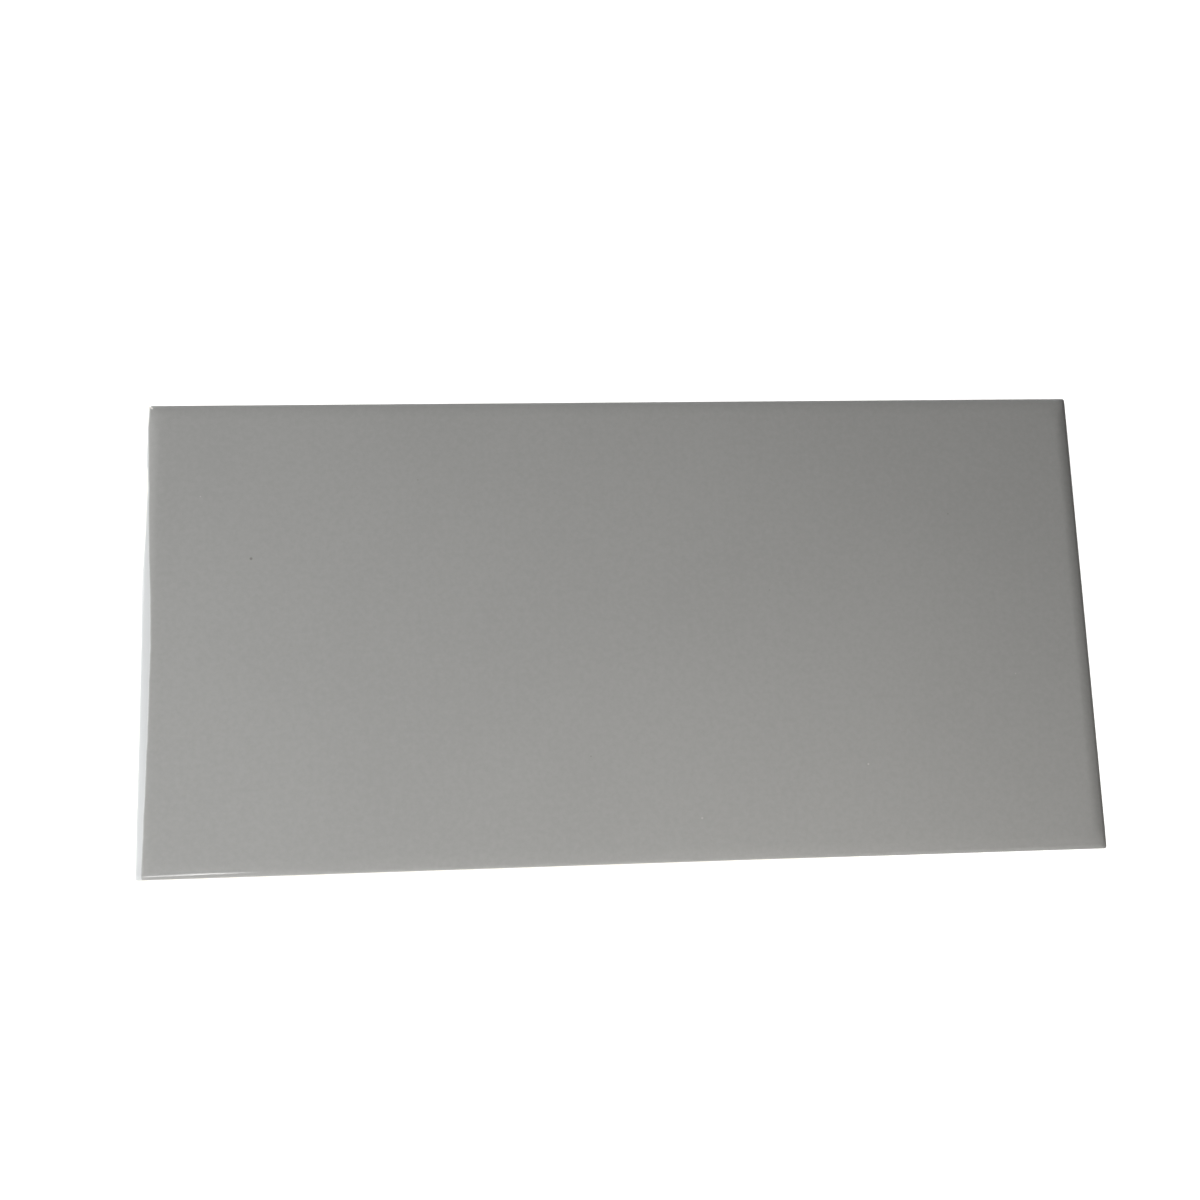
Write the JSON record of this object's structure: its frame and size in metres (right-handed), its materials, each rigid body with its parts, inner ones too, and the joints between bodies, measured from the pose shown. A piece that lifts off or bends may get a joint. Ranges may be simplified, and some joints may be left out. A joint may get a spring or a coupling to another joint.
{
  "type": "wall tile",
  "caption": "Plain oblong glazed ceramic wall tile with softly rolled face edges, bare pale body at its rim and sides, and key ribs on the back.",
  "frame": {"origin": "middle of the plane that the crowns of the back ribs lie in, on the floor side of the tile as it lies face up", "axes": "+Z is the glazed face's outward direction, +X runs along the tile's length and +Y along its width"},
  "size_m": [0.2, 0.0984, 0.008],
  "materials": {
    "glazed_tile": "gloss mid-grey glaze on the face, bare off-white fired body on the sides and back"
  },
  "bodies": {
    "root": {"wall_tile": "glazed_tile"}
  },
  "joints": []
}
